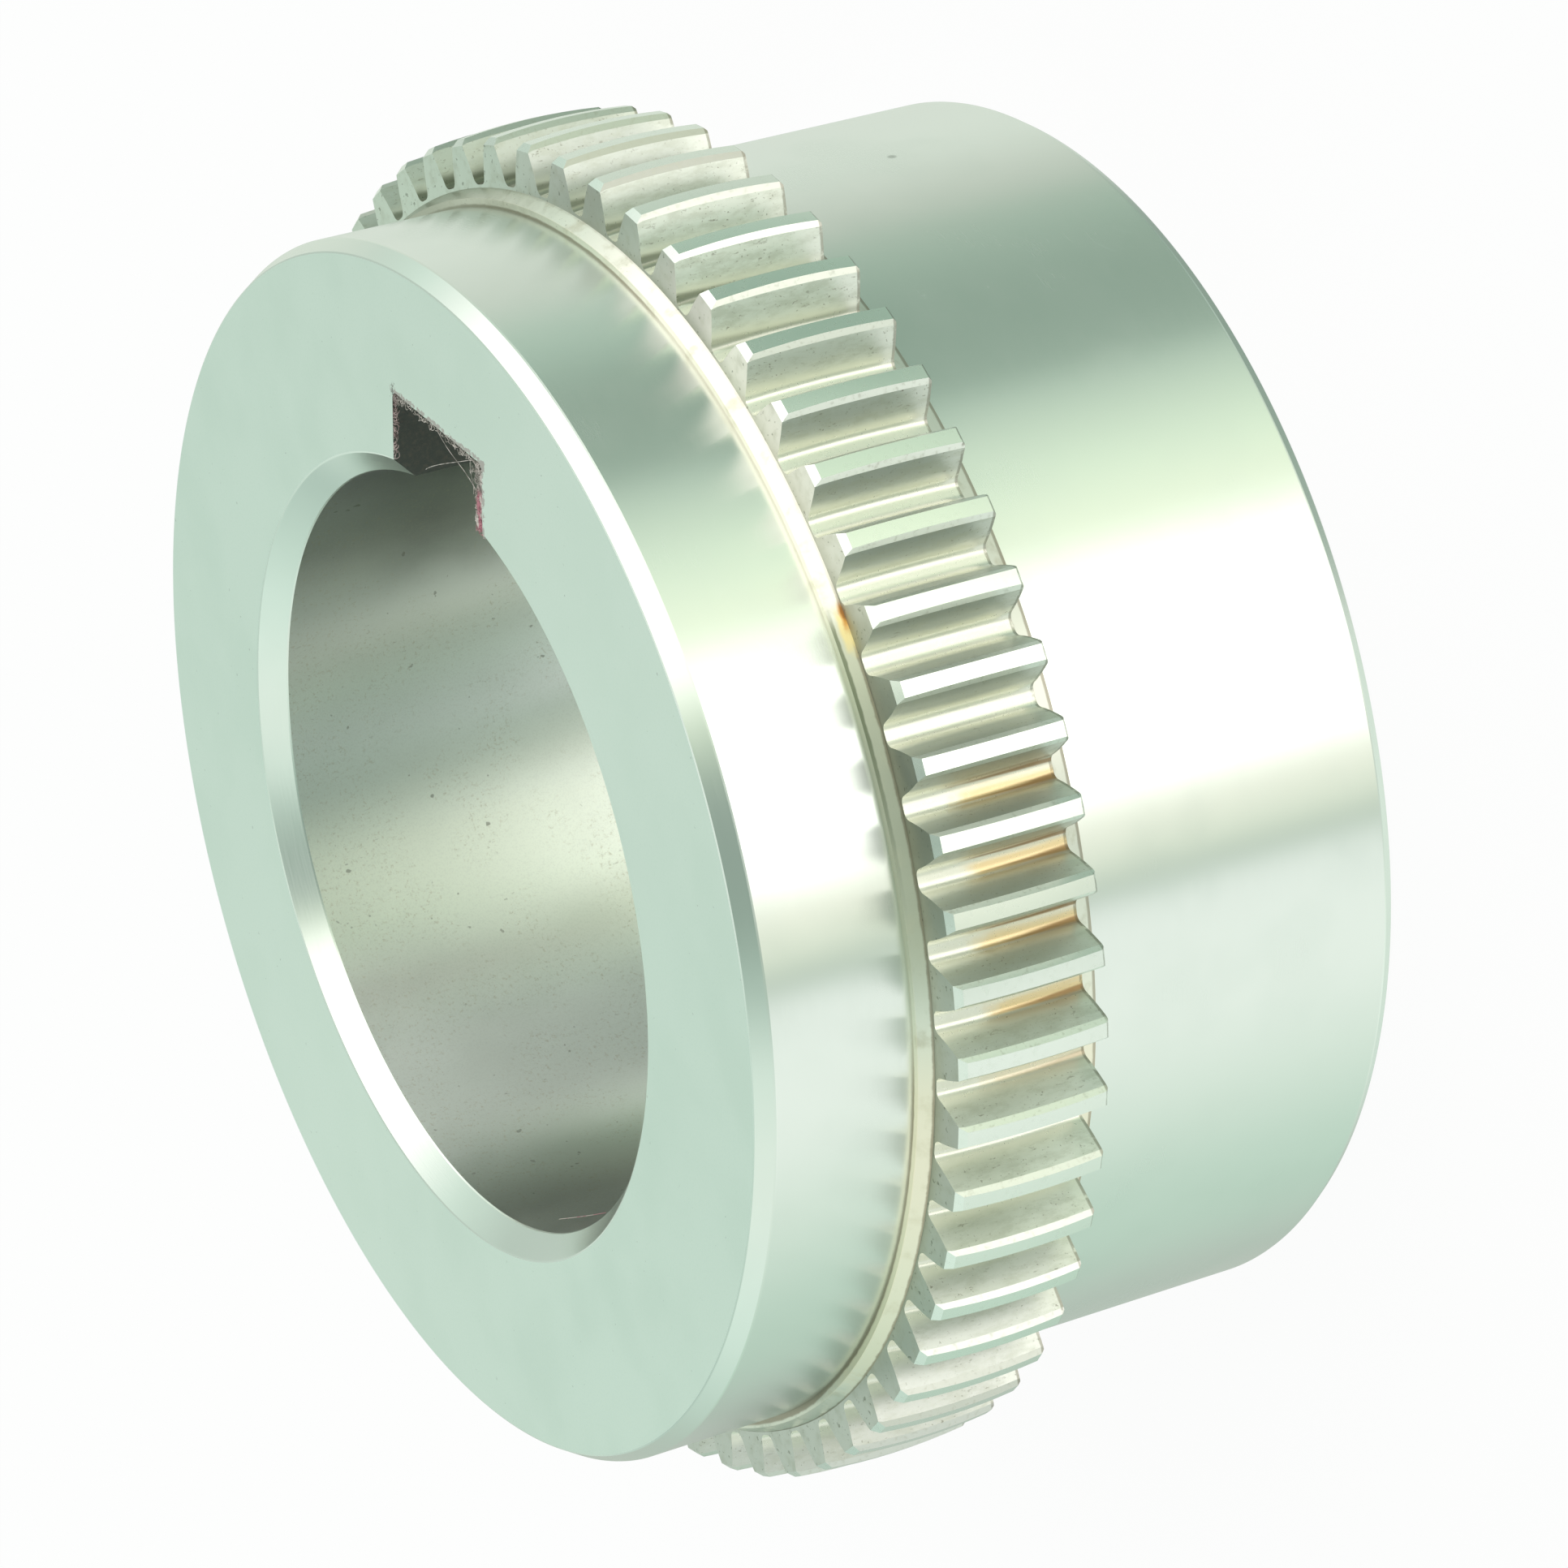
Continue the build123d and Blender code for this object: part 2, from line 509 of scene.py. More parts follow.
# One finish of the hub. Coats go over its base colour: the name of a colour in its look, three
# parts or a wire.
class Finish:
    def __init__(self, name, look):
        self.material = bpy.data.materials.new(name)
        self.material.use_nodes = True
        self.material.node_tree.nodes.clear()
        self.bench = Bench(self.material.node_tree)
        self.spot = Spot(self.bench)
        self.look = look
        self.colour = look.get("colour")

    def coat(self, amount, colour, blend="MIX"):
        if isinstance(colour, str):
            colour = self.look[colour]
        self.colour = self.bench.mix(amount, self.colour, colour, blend)

    # 1 along one stretch of the ring, given by its look as four angles
    def around(self, name, wander=0.0):
        return self.bench.band(self.spot.azimuth + wander, *self.look[name])

    def done(self, roughness, metallic, height=None):
        sockets = {"Base Color": self.colour, "Roughness": roughness, "Metallic": metallic}
        if "anisotropy" in self.look:
            sockets["Anisotropic"] = self.look["anisotropy"]
            sockets["Anisotropic Rotation"] = 0.25  # a quarter turn, across the turning marks
        if height is not None:
            bump = {"Height": height, "Strength": 1.0, "Distance": self.look["bump"] * mm}
            sockets["Normal"] = self.bench.add("ShaderNodeBump", {}, bump)
        shader = self.bench.add("ShaderNodeBsdfPrincipled", {}, sockets)
        self.bench.add("ShaderNodeOutputMaterial", {}, {"Surface": shader})
        return self.material


def started(name, look):
    finish = Finish(name, look)
    return finish, finish.bench, finish.spot


def azimuthRamp(bench, azimuth, stops, top=1.0):
    # Stops are angles with a colour, or with one part for a grey. A ramp holds at most 1, so
    # brighter colours are scaled down here and back up by their user.
    scaled = []
    for angle, *parts in stops:
        colour = parts if len(parts) > 1 else parts * 3
        scaled.append(((angle + 180) / 360, [part / top for part in colour]))
    return bench.add("ShaderNodeValToRGB", {"stops": scaled}, {0: azimuth / 360 + 0.5})


facedLook = {
    "colour": (0.78, 0.87, 0.81),
    "stain": (0.73, 0.83, 0.765),
    "pit": (0.46, 0.50, 0.48),
    "lint": (0.50, 0.42, 0.41),
    "hair": (0.17, 0.15, 0.14),
    "roughness": 0.42,
    "bump": 0.005,
    "anisotropy": 0.5,
}


def facedSteel():
    finish, bench, spot = started("facedSteel", facedLook)
    cloud = bench.patches(0.38, 0.7, spot.point, 0.12, 3.0)
    finish.coat(cloud * 0.45, "stain")
    rings = bench.noise(spot.turned, 9.0, 3.0, 0.6)
    grain = bench.noise(spot.point, 5.0, 4.0, 0.65)
    finish.coat(bench.step(grain, 0.45, 0.75) * 0.35, "stain")
    pits = bench.patches(0.735, 0.78, spot.point, 2.3, 2.0)
    dirt = bench.patches(0.50, 0.68, spot.point, 0.16, 2.0)
    pits = pits + bench.patches(0.66, 0.72, spot.point, 3.6, 4.0, 0.7) * dirt * 0.7
    finish.coat(pits * 0.55, "pit")
    # Lint pressed onto the face along two edges of the keyway
    ragged = bench.noise(spot.point, 2.2, 3.0, 0.7)
    halfWidth = hub.keywayWidth / 2
    reach = hub.keywayReach
    besideFloor = bench.step(abs(spot.along - reach - 0.1), 0.45, 0.05)
    besideFloor = besideFloor * bench.step(abs(spot.aside), halfWidth + 0.8, halfWidth)
    besideWall = bench.step(abs(spot.aside + halfWidth + 0.1), 0.45, 0.05)
    besideWall = besideWall * bench.step(spot.along, reach + 0.5, reach)
    besideWall = besideWall * bench.step(spot.along, hub.boreRadius, hub.boreRadius + 0.8)
    fringe = bench.step(ragged + (besideFloor + besideWall) * 0.22, 0.66, 0.74)
    fringe = fringe * bench.step(besideFloor + besideWall, 0.0, 0.2)
    finish.coat(fringe * 0.8, "lint")
    # Dark hairs that reach out of one corner
    out = (spot.along - reach - 0.1) * 0.5
    sideways = spot.aside - halfWidth + 0.05
    strayed = (bench.noise(spot.point, 4.0, 4.0, 0.8) - 0.5) * 1.6
    hairs = (out * out + sideways * sideways).math("SQRT") + strayed
    finish.coat(bench.step(hairs, 0.26, 0.06) * 0.75, "hair")
    roughness = facedLook["roughness"] + (grain - 0.5) * 0.12 + cloud * 0.04
    height = rings * 0.35 + grain * 0.4 - pits
    return finish.done(roughness, 1.0, height)


groundLook = {
    "colour": (0.90, 0.94, 0.90),
    "haze": (0.82, 0.88, 0.83),
    # film is the colour of a thin film of oil, and of the painted shade by the front collar
    "film": (0.36, 0.38, 0.33),
    "scratch": (1.0, 1.0, 1.0),
    "spot": (0.30, 0.34, 0.30),
    "spotPlace": (5.0, 11.9),
    "paintedLowShade": (-168, -144, -126, -94),
    "shaded": (-154, -142, -134, -118),
    "oiled": (-42, -22, -10, 6),
    "roughness": 0.23,
    "bump": 0.001,
    "anisotropy": 0.9,
}


def groundSteel():
    finish, bench, spot = started("groundSteel", groundLook)
    cloud = bench.patches(0.42, 0.72, spot.point, 0.11, 3.0)
    finish.coat(cloud * 0.35, "haze")
    lines = bench.noise(spot.turned, 14.0, 3.0, 0.65)
    scratches = bench.patches(0.71, 0.76, spot.turned, 4.2, 1.0)
    roughness = groundLook["roughness"] + (lines - 0.5) * 0.08 + cloud * 0.04
    height = lines * 0.3 - scratches * 0.6
    # Painted shade on the lower side of the front boss, darkest along the collar, where the teeth shade
    # the boss
    low = finish.around("paintedLowShade") * spot.ahead()
    beside = bench.step(spot.height, 43.0, 37.8) * 0.22 + bench.step(spot.height, 38.1, 37.9) * 0.35
    shade = finish.around("shaded") * spot.ahead() * bench.step(spot.height, 48.5, 41.0)
    finish.coat(low * (0.12 + beside), "film")
    finish.coat(shade * 0.5, "film")
    # A thin film of oil, dull where the bosses are dark
    oiled = 0.27 - spot.ahead() * bench.step(spot.azimuth, -22.0, -12.0) * 0.20
    finish.coat(finish.around("oiled") * oiled, "film")
    # Scratches that slant across the rear boss, and a dark spot
    slanted = bench.add("ShaderNodeMapping", {}, {"Vector": spot.unrolled, "Scale": (0.12, 1.0, 1.0)})
    slanted = bench.patches(0.63, 0.70, slanted, 2.6, 2.0)
    slanted = slanted * bench.patches(0.48, 0.58, spot.point, 0.12, 1.0)
    finish.coat(slanted * 0.10, "scratch")
    spotAzimuth, spotHeight = groundLook["spotPlace"]
    aside = (spot.azimuth - spotAzimuth) * radians(hub.bossRadius)
    above = spot.height - spotHeight
    away = (aside * aside + above * above).math("SQRT")
    finish.coat(bench.step(away, 0.45, 0.15) * 0.6, "spot")
    return finish.done(roughness, 1.0, height)


chamferLook = {
    "colour": (0.88, 0.93, 0.88),
    "shade": (0.74, 0.80, 0.74),
    "roughness": 0.2,
    "bump": 0.003,
    "anisotropy": 0.4,
}


def turnedChamfer():
    finish, bench, spot = started("turnedChamfer", chamferLook)
    lines = bench.noise(spot.turned, 7.0, 2.0, 0.6)
    shade = bench.noise(spot.point, 0.3, 3.0)
    finish.coat(shade * 0.3, "shade")
    roughness = chamferLook["roughness"] + lines * 0.08
    return finish.done(roughness, 1.0, lines)


rustLook = {
    "film": (0.94, 0.71, 0.36),
    "streak": (0.36, 0.20, 0.07),
    "tint": (0.30, 0.26, 0.16),
    "from": -90.5,
    "to": -59.9,
    "high": 33.2,
}


def rustAmounts(bench, spot):
    # A thin film over one side of some gap floors, and a streak in the corner beside it
    ragged = bench.noise(spot.drawn, 1.6, 3.0, 0.6) - 0.5
    patch = bench.noise(spot.point, 0.45, 3.0) - 0.5
    start, end, soft = rustLook["from"], rustLook["to"], 0.3
    sector = bench.band(spot.azimuth, start - soft, start + soft, end - soft, end + soft)
    sector = sector * (1 - bench.step(spot.azimuth, -84.0, -85.0) * 0.6)
    deep = bench.step(spot.radius, 46.0, 45.2)
    reach = bench.step(spot.height + patch * 7.0, rustLook["high"] + 1.2, rustLook["high"] - 2.0)
    low = sector * deep * reach
    film = low * bench.step(spot.across + ragged * 0.9, 0.55, -0.20)
    film = film * bench.step(spot.across + ragged * 0.2, -0.72, -0.60)
    taper = (spot.height - 27.0) * 0.03
    streak = bench.step(abs(spot.across + 0.56 + ragged * 0.4) + taper, 0.30, 0.04)
    line = bench.step(abs(spot.across - 0.54 + ragged * 0.15) + taper * 0.5, 0.20, 0.06)
    beside = bench.step(abs(spot.across), 0.55, 0.75)
    return film, low * (streak + line * 0.9), low * beside


# Painted light and shade: the teeth are painted lighter or darker by azimuth round the ring
toothLook = {
    "floor": (0.92, 0.92, 0.82),
    "colour": (0.93, 0.97, 0.91),
    # rear: painted light for the rear ends of the flanks
    "rear": (1.00, 1.00, 0.92),
    "stain": (0.48, 0.50, 0.40),
    "speck": (0.16, 0.14, 0.09),
    "soil": (0.17, 0.19, 0.13),
    "frontDarkened": (-112, -102, -92, -82),
    "soiled": (10, 22, 60, 90),
    "cornered": (-26, -14, 40, 60),
    "roughness": 0.38,
    "metallic": 0.78,
    "feed": 1.1,
    "bump": 0.008,
    "paintedLightAndShade": [
        (-180, 0.74, 0.73, 0.73), (-125, 0.74, 0.72, 0.72), (-108, 0.82, 0.80, 0.80),
        (-97, 0.97, 0.96, 0.94), (-91, 0.92, 0.91, 0.91), (-84, 0.79, 0.80, 0.78),
        (-78, 0.60, 0.62, 0.59), (-66, 0.51, 0.53, 0.51), (-54, 0.48, 0.50, 0.48),
        (-46, 0.51, 0.53, 0.52), (-42, 0.58, 0.60, 0.60), (-36, 0.60, 0.61, 0.61),
        (-30, 0.68, 0.69, 0.69), (-23, 0.88), (-17, 0.95), (-11, 1.00), (-5, 0.92, 0.92, 0.91),
        (1, 0.79, 0.79, 0.77), (10, 0.66, 0.66, 0.65), (40, 0.64, 0.66, 0.64), (90, 0.76), (180, 0.80),
    ],
}


# Thin dark rims at the rear of the teeth, where oil has dried
def rearRim(bench, spot):
    ragged = bench.noise(spot.point, 1.5, 3.0, 0.6)
    return bench.step(spot.height + ragged * 0.12, 25.98, 25.88) * bench.step(ragged, 0.3, 0.5)


def hobbedSteel():
    finish, bench, spot = started("hobbedSteel", toothLook)
    deep = bench.step(spot.radius, 46.2, 45.2)
    rear = bench.step(spot.height, 29.0, 25.8)
    # Dirt lies in fine specks and in short dashes along the teeth
    dashed = bench.drawnOut(spot.point, 0.4)
    # Painted light and shade: the colour is scaled by azimuth, lighter where light falls on the teeth
    paintedLightAndShade = azimuthRamp(bench, spot.azimuth, toothLook["paintedLightAndShade"])
    finish.coat(1.0, paintedLightAndShade, "MULTIPLY")
    # Painted light: the rear of the flanks is painted lighter, where light thrown from the rear boss
    # falls
    finish.coat(rear * 0.35, "rear")
    # Over one stretch the teeth are darker towards the front
    finish.coat(finish.around("frontDarkened") * bench.step(spot.height, 28.0, 34.0) * 0.3, "stain")
    finish.coat(deep, "floor")
    blotch = bench.patches(0.42, 0.66, dashed, 1.3, 5.0, 0.7)
    finish.coat(blotch * 0.36 * (1 - deep), "stain")
    dirty = bench.patches(0.35, 0.65, spot.point, 0.25, 2.0)
    specks = bench.patches(0.64, 0.72, spot.point, 4.5, 3.0)
    dashes = bench.patches(0.62, 0.72, dashed, 3.4, 3.0, 0.6)
    specks = (specks * 0.6 + dashes * 0.5) * (0.35 + dirty * 0.65)
    specks = specks * (1 - bench.step(spot.radius, 46.0, 45.6) * 0.95)
    finish.coat(specks, "speck")
    soil = finish.around("soiled") * (bench.step(spot.azimuth, 46.0, 32.0) * 0.6 + 0.3)
    soil = soil * bench.step(spot.radius + dirty * 0.8, 46.6, 45.4)
    finish.coat(soil * bench.step(spot.height, 33.0, 35.6) * 0.9, "soil")
    # A dark line along one corner of the floor
    corner = bench.step(spot.across + dirty * 0.15, 0.42, 0.56) * bench.step(spot.radius, 45.5, 45.1)
    finish.coat(finish.around("cornered") * corner * 0.75, "soil")
    film, streak, beside = rustAmounts(bench, spot)
    finish.coat(beside * 0.45, rustLook["tint"])
    finish.coat(film * 0.85, rustLook["film"])
    finish.coat(streak * 0.9, rustLook["streak"])
    finish.coat(rearRim(bench, spot) * 0.55, "speck")
    feed = (spot.height * (2 * pi / toothLook["feed"])).math("SINE")
    grain = bench.noise(spot.point, 4.0, 4.0, 0.65)
    roughness = toothLook["roughness"] + (grain - 0.5) * 0.2 + streak * 0.1 - deep * 0.08
    metallic = toothLook["metallic"] - streak * 0.3 - deep * 0.08
    height = feed * 0.15 + grain * 0.5 - specks * 0.6
    return finish.done(roughness, metallic, height)


landLook = {
    "colour": (0.88, 0.93, 0.87),
    "stain": (0.70, 0.77, 0.66),
    "dull": (34, 52, 110, 150),
    "roughness": 0.26,
    "bump": 0.001,
    "anisotropy": 0.3,
}
bevelLook = {
    "colour": (0.96, 0.98, 0.92),
    "stain": (0.50, 0.50, 0.42),
    "roughness": 0.32,
    "bump": 0.004,
    "paintedLightAndShade": [
        (-180, 0.74), (-100, 0.76), (-92, 0.90), (-84, 1.00), (-72, 0.98), (-60, 0.86), (-36, 0.95),
        (-12, 0.92, 0.92, 0.90), (-5, 0.64, 0.64, 0.62), (1, 0.44, 0.44, 0.42), (7, 0.56, 0.56, 0.54),
        (13, 0.68), (50, 0.76), (180, 0.74),
    ],
}


def bevelSteel():
    finish, bench, spot = started("bevelSteel", bevelLook)
    grain = bench.noise(spot.point, 3.0, 3.0)
    # Painted light and shade: the bevels are painted lighter or darker by azimuth
    paintedLightAndShade = azimuthRamp(bench, spot.azimuth, bevelLook["paintedLightAndShade"])
    finish.coat(1.0, paintedLightAndShade, "MULTIPLY")
    finish.coat(bench.step(grain, 0.52, 0.75) * 0.4, "stain")
    finish.coat(rearRim(bench, spot) * 0.55, toothLook["speck"])
    roughness = bevelLook["roughness"] + (grain - 0.5) * 0.14
    return finish.done(roughness, 1.0, grain)


def landSteel():
    finish, bench, spot = started("landSteel", landLook)
    lines = bench.noise(spot.turned, 2.5, 2.0, 0.5)
    grain = bench.noise(spot.point, 2.0, 3.0)
    finish.coat(bench.step(grain, 0.5, 0.8) * 0.2, "stain")
    finish.coat(rearRim(bench, spot) * 0.55, toothLook["speck"])
    roughness = landLook["roughness"] + (grain - 0.5) * 0.10
    return finish.done(roughness, 1 - finish.around("dull") * 0.45, lines)


endLook = {
    "colour": (0.78, 0.80, 0.73),
    "stain": (0.45, 0.46, 0.36),
    "speck": (0.14, 0.15, 0.10),
    "roughness": 0.32,
    "bump": 0.002,
    "anisotropy": 0.3,
    "paintedLightAndShade": [
        (-180, 0.75), (-108, 0.74, 0.75, 0.74), (-91, 0.62), (-78, 0.73), (-72, 0.62, 0.62, 0.61),
        (-66, 0.49, 0.49, 0.46), (-54, 0.49, 0.49, 0.48), (-48, 0.63, 0.62, 0.60),
        (-42, 0.78, 0.77, 0.77), (-30, 0.94, 0.91, 0.92), (-23, 1.00, 0.98, 0.98),
        (-17, 0.70, 0.67, 0.68), (-5, 0.74), (1, 0.64, 0.63, 0.62), (7, 0.74), (19, 0.80, 0.86, 0.83),
        (40, 0.88, 0.94, 0.90), (180, 0.75),
    ],
}


def toothEndSteel():
    finish, bench, spot = started("toothEndSteel", endLook)
    stain = bench.patches(0.45, 0.75, spot.point, 0.9, 3.0, 0.6)
    # Painted light and shade: the tooth ends are painted lighter or darker by azimuth
    paintedLightAndShade = azimuthRamp(bench, spot.azimuth, endLook["paintedLightAndShade"])
    finish.coat(1.0, paintedLightAndShade, "MULTIPLY")
    finish.coat(stain * 0.35, "stain")
    specks = bench.patches(0.64, 0.70, spot.point, 2.6, 3.0)
    finish.coat(specks * 0.6, "speck")
    lines = bench.noise(spot.turned, 4.0, 2.0, 0.6)
    roughness = endLook["roughness"] + stain * 0.1
    return finish.done(roughness, 1.0, lines)


collarLook = {
    "colour": (0.90, 0.90, 0.80),
    "stain": (0.50, 0.48, 0.34),
    "soil": (0.20, 0.20, 0.13),
    "brown": (0.24, 0.19, 0.12),
    "cream": (0.98, 0.88, 0.68),
    "dull": (0.50, 0.56, 0.49),
    "far": (0.76, 0.90, 0.78),
    "sage": (0.65, 0.66, 0.51),
    "grease": (0.20, 0.23, 0.14),
    "halo": (0.98, 0.80, 0.36),
    "rust": (0.66, 0.30, 0.05),
    "heart": (0.26, 0.11, 0.03),
    # Colour, azimuth, reach to each side, and the radii between which it sets in
    "mark": [
        ("halo", -47.7, 2.5, 43.97, 44.12),
        ("rust", -46.6, 1.7, 44.14, 44.26),
        ("heart", -46.2, 1.3, 44.22, 44.31),
    ],
    "bottom": (-176, -160, -136, -128),
    "paintedLightAndShade": (-90, -82, -16, -8),
    "greasy": (-82, -74, -48, -45),
    "cleaner": (-46, -42, 120, 176),
    "farSide": (10, 40, 120, 170),
    "grimy": (2, 22, 45, 70),
    "crowded": (-30, 20, 120, 170),
    "roughness": 0.28,
    "bump": 0.005,
}


def collarSteel():
    finish, bench, spot = started("collarSteel", collarLook)
    stain = bench.patches(0.5, 0.75, spot.point, 0.6, 4.0, 0.6)
    finish.coat(stain * 0.45, "stain")
    # Some stretches are creamy or dull, and the corner at their foot is darkened: painted shade with
    # some dirt
    ragged = bench.noise(spot.point, 1.2, 3.0) - 0.5
    border = spot.azimuth + ragged * 8.0
    creamy = bench.step(border, -132.0, -122.0) * bench.step(spot.azimuth, -80.0, -90.0)
    finish.coat(creamy * 0.6 + bench.step(spot.radius, 43.84, 43.80) * 0.3, "cream")
    dulled = bench.step(border, -126.0, -134.0) * bench.step(spot.azimuth, -176.0, -160.0)
    finish.coat(dulled * (0.4 + stain * 0.5), "dull")
    # Painted shade with some dirt in the corner by the boss, wider at the bottom and fainter over one
    # stretch
    level = spot.radius + ragged * 0.15 - finish.around("bottom") * 0.2
    corner = bench.step(level, 43.46, 43.30) * (0.75 - finish.around("paintedLightAndShade") * 0.46)
    finish.coat(corner, "brown")
    # Old grease over one stretch; along the edge of the step it darkens to a line of painted shade and
    # grease
    greasy = finish.around("greasy") * spot.ahead()
    finish.coat(greasy * 0.8, "sage")
    # Painted shade with grease: a dark line where the step lies in shadow
    edge = bench.step(spot.radius + ragged * 0.08, 43.95, 43.89)
    edge = edge * bench.step(spot.radius, 43.74, 43.80) * bench.step(spot.azimuth, -74.0, -54.0)
    finish.coat(greasy * edge * 0.85, "grease")
    # A thin brown line where a collar meets the teeth
    brown = bench.step(spot.radius + ragged * 0.1, 44.24, 44.32)
    brown = brown * (0.7 - finish.around("cleaner") * 0.5)
    foot = bench.step(spot.radius + ragged * 0.06, 43.93, 43.87) * bench.step(spot.height, 30.0, 29.0)
    brown = brown.math("MAXIMUM", foot * 0.6)
    finish.coat(brown, "brown")
    # A rust mark at the end of the grease, yellow at its border and brown at its heart
    level = spot.radius + ragged * 0.12
    for name, middle, reach, low, high in collarLook["mark"]:
        mark = bench.step(abs(spot.azimuth - middle + ragged * 1.6), reach, reach * 0.35)
        finish.coat(mark * spot.ahead() * bench.step(level, low, high) * 0.85, name)
    finish.coat(finish.around("farSide") * 0.35, "far")
    grime = 0.35 + bench.step(spot.azimuth, 21.0, 32.0) * 0.24
    finish.coat(finish.around("grimy", ragged * 12.0) * grime, "soil")
    crowded = bench.noise(spot.point, 0.35, 2.0) * 0.14 + finish.around("crowded") * 0.06
    specks = bench.step(bench.noise(spot.point, 4.4, 4.0, 0.65) + crowded, 0.76, 0.82)
    finish.coat(specks * 0.5, "soil")
    lines = bench.noise(spot.turned, 6.0, 2.0, 0.6)
    roughness = collarLook["roughness"] + stain * 0.12
    return finish.done(roughness, 1 - greasy * 0.35, lines)


# The bore is painted lighter and darker by azimuth: painted reflections and painted shade
boreLook = {
    "haze": (0.70, 0.74, 0.68),
    "paintedReflectionsAndShade": [
        (-180, 0.72, 0.77, 0.72), (-168, 0.48, 0.50, 0.47), (-160, 0.38, 0.40, 0.37),
        (-150, 0.44, 0.46, 0.43), (-115, 0.80, 0.83, 0.79), (-20, 0.78, 0.81, 0.77),
        (8, 0.42, 0.42, 0.43), (58, 0.40, 0.41, 0.41), (70, 0.48, 0.50, 0.48), (84, 0.81, 0.85, 0.81),
        (92, 0.93, 1.00, 0.94), (100, 0.96, 1.00, 0.97), (108, 0.82, 0.89, 0.84),
        (118, 0.92, 0.97, 0.86), (130, 0.94, 1.00, 0.88), (140, 1.00, 1.00, 0.96),
        (148, 0.95, 1.00, 0.95), (160, 0.88, 0.94, 0.89), (172, 0.78, 0.83, 0.79),
        (180, 0.72, 0.77, 0.72),
    ],
    "grain": (0.62, 0.66, 0.61),
    "pit": (0.22, 0.22, 0.18),
    "dust": (0.46, 0.42, 0.30),
    "oil": (0.12, 0.13, 0.12),
    "darkerDeepSide": (10, 30, 64, 84),
    "dry": (143, 156, 163, 184),
    "roughness": 0.30,
    "bump": 0.002,
    "anisotropy": 0.85,
}


def honedSteel():
    finish, bench, spot = started("honedSteel", boreLook)
    cloud = bench.patches(0.4, 0.7, spot.point, 0.1, 3.0)
    grain = bench.noise(spot.point, 7.0, 4.0, 0.7)
    # Painted reflections and shade: the base colour follows azimuth, bright where the studio's white is
    # mirrored
    finish.colour = azimuthRamp(bench, spot.azimuth, boreLook["paintedReflectionsAndShade"])
    finish.coat(cloud * 0.25, "haze")
    finish.coat(bench.step(grain, 0.46, 0.66) * 0.22, "grain")
    # Darker deep inside, over one side
    patch = bench.noise(spot.point, 0.3, 3.0) * 8.0
    finish.coat(finish.around("darkerDeepSide", patch) * bench.step(spot.height, 47.0, 36.0) * 0.6, "oil")
    # Dust lies thicker near the mouth than deep inside
    settled = bench.noise(spot.point, 0.22, 3.0) + bench.step(spot.height, 36.0, 47.0) * 0.15
    dust = bench.patches(0.55, 0.63, spot.point, 3.2, 5.0, 0.8)
    dust = dust * bench.step(settled, 0.38, 0.62)
    finish.coat(dust * 0.40, "dust")
    # Short scratches along the shaft, and a few pits
    drawn = bench.drawnOut(spot.point, 0.35)
    scratches = bench.patches(0.64, 0.72, drawn, 5.5, 3.0, 0.7)
    finish.coat(scratches * bench.step(settled, 0.40, 0.62) * 0.35, "pit")
    pits = bench.patches(0.72, 0.76, spot.point, 1.1, 2.0)
    finish.coat(pits * 0.6, "pit")
    lines = bench.noise(spot.turned, 8.0, 3.0, 0.6)
    roughness = boreLook["roughness"] + (lines - 0.5) * 0.08 + pits * 0.15 + dust * 0.08
    # A film of dry dust dulls one side
    return finish.done(roughness, 1 - finish.around("dry", patch) * 0.6, lines * 0.5 - pits)


keywayLook = {
    "colour": (0.80, 0.81, 0.77),
    "dark": (0.60, 0.61, 0.57),
    "oil": (0.085, 0.09, 0.09),
    "fibres": (0.17, 0.135, 0.12),
    "roughness": 0.36,
    "bump": 0.01,
}


def broachedSteel():
    finish, bench, spot = started("broachedSteel", keywayLook)
    streaks = bench.noise(spot.drawn, 2.5, 3.0, 0.6)
    finish.coat(streaks, "dark")
    # One side wall is black with old oil
    oiled = bench.step(spot.aside, 5.9, 6.3)
    stuck = bench.patches(0.46, 0.68, spot.point, 3.2, 5.0, 0.75)
    finish.coat(oiled * 0.88, bench.mix(stuck * 0.7, keywayLook["oil"], keywayLook["fibres"]))
    roughness = keywayLook["roughness"] + streaks * 0.2
    return finish.done(roughness, 1.0, streaks)


finishes = {
    "face": facedSteel(),
    "chamfer": turnedChamfer(),
    "boss": groundSteel(),
    "collar": collarSteel(),
    "land": landSteel(),
    "bevel": bevelSteel(),
    "flank": hobbedSteel(),
    "bore": honedSteel(),
    "keyway": broachedSteel(),
    "toothEnd": toothEndSteel(),
}
print("finishes made")

hubBody = buildHub(finishes)
print("hub built, faces:", len(hubBody.data.polygons))
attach(hubBody, "root")
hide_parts("hub")


